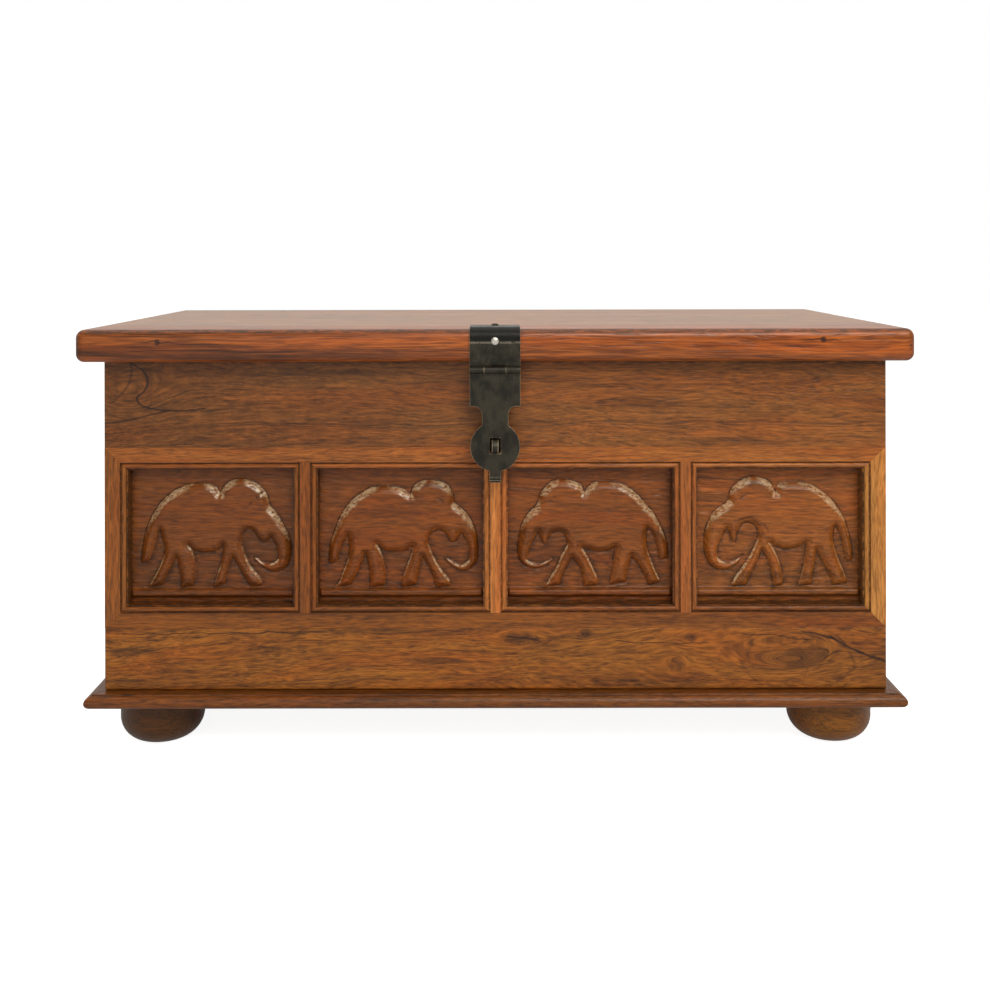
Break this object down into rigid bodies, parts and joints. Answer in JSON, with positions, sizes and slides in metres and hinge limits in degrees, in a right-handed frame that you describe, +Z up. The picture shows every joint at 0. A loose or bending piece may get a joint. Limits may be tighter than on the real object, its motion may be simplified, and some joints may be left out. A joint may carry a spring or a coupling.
{
  "type": "carved wooden trunk",
  "caption": "Low hardwood trunk with elephants carved in a row of framed front panels, a plank lid, an iron hasp and staple, and round turned feet.",
  "frame": {"origin": "on the floor, under the middle of the whole's width and depth", "axes": "+X to the right as the carved front is seen, along the longest side; -Y out of the carved front; +Z up"},
  "size_m": [0.9, 0.4612, 0.4625],
  "materials": {
    "lid_wood": "oiled, satin, orange-red brown with fine straight grain",
    "board_wood": "oiled, satin, mid brown with dark streaks and a knot figure",
    "frame_wood": "oiled, satin, light orange-brown",
    "carved_wood": "polished, reddish brown, glossy on the high edges",
    "end_panel_wood": "oiled, satin, reddish brown",
    "base_wood": "oiled, satin, mid brown",
    "foot_wood": "oiled, satin, dark brown",
    "plain_wood": "unpolished, matt, mid brown",
    "dark_iron": "blackened, with worn brownish edges",
    "pin_iron": "blackened, worn bright where it turns"
  },
  "bodies": {
    "carcase": {"back_base_moulding": "base_wood", "back_bottom_board": "plain_wood", "back_middle_board": "plain_wood", "back_top_board": "plain_wood", "carved_panel_1": "carved_wood", "carved_panel_2": "carved_wood", "carved_panel_3": "carved_wood", "carved_panel_4": "carved_wood", "feet": "foot_wood", "floor_boards": "plain_wood", "front_base_moulding": "base_wood", "front_bottom_board": "board_wood", "front_bottom_rail": "frame_wood", "front_centre_muntin": "frame_wood", "front_left_muntin": "frame_wood", "front_left_stile": "frame_wood", "front_right_muntin": "frame_wood", "front_right_stile": "frame_wood", "front_top_board": "board_wood", "front_top_rail": "frame_wood", "hasp_staple": "dark_iron", "hinge_pins": "pin_iron", "left_back_panel": "end_panel_wood", "left_back_stile": "frame_wood", "left_base_moulding": "base_wood", "left_bottom_board": "board_wood", "left_bottom_rail": "frame_wood", "left_front_panel": "end_panel_wood", "left_front_stile": "frame_wood", "left_hinge_body_leaf": "dark_iron", "left_muntin": "frame_wood", "left_top_board": "board_wood", "left_top_rail": "frame_wood", "right_back_panel": "end_panel_wood", "right_back_stile": "frame_wood", "right_base_moulding": "base_wood", "right_bottom_board": "board_wood", "right_bottom_rail": "frame_wood", "right_front_panel": "end_panel_wood", "right_front_stile": "frame_wood", "right_hinge_body_leaf": "dark_iron", "right_muntin": "frame_wood", "right_top_board": "board_wood", "right_top_rail": "frame_wood"},
    "lid": {"lid_front_plank": "lid_wood", "lid_second_plank": "lid_wood", "lid_third_plank": "lid_wood", "lid_back_plank": "lid_wood", "lid_battens": "lid_wood", "left_hinge_lid_leaf": "dark_iron", "right_hinge_lid_leaf": "dark_iron", "hasp_strap": "dark_iron", "hasp_pin": "pin_iron"},
    "hasp": {"hasp_plate": "dark_iron"}
  },
  "joints": [
    {"name": "lid_hinge", "type": "hinge", "parent": "carcase", "child": "lid", "pos_m": [0, 0.20993, 0.4207], "axis": [-1, 0, 0], "range_deg": [0, 105]},
    {"name": "hasp_hinge", "type": "hinge", "parent": "lid", "child": "hasp", "pos_m": [0, -0.21912, 0.4164], "axis": [-1, 0, 0], "range_deg": [0, 165]}
  ]
}
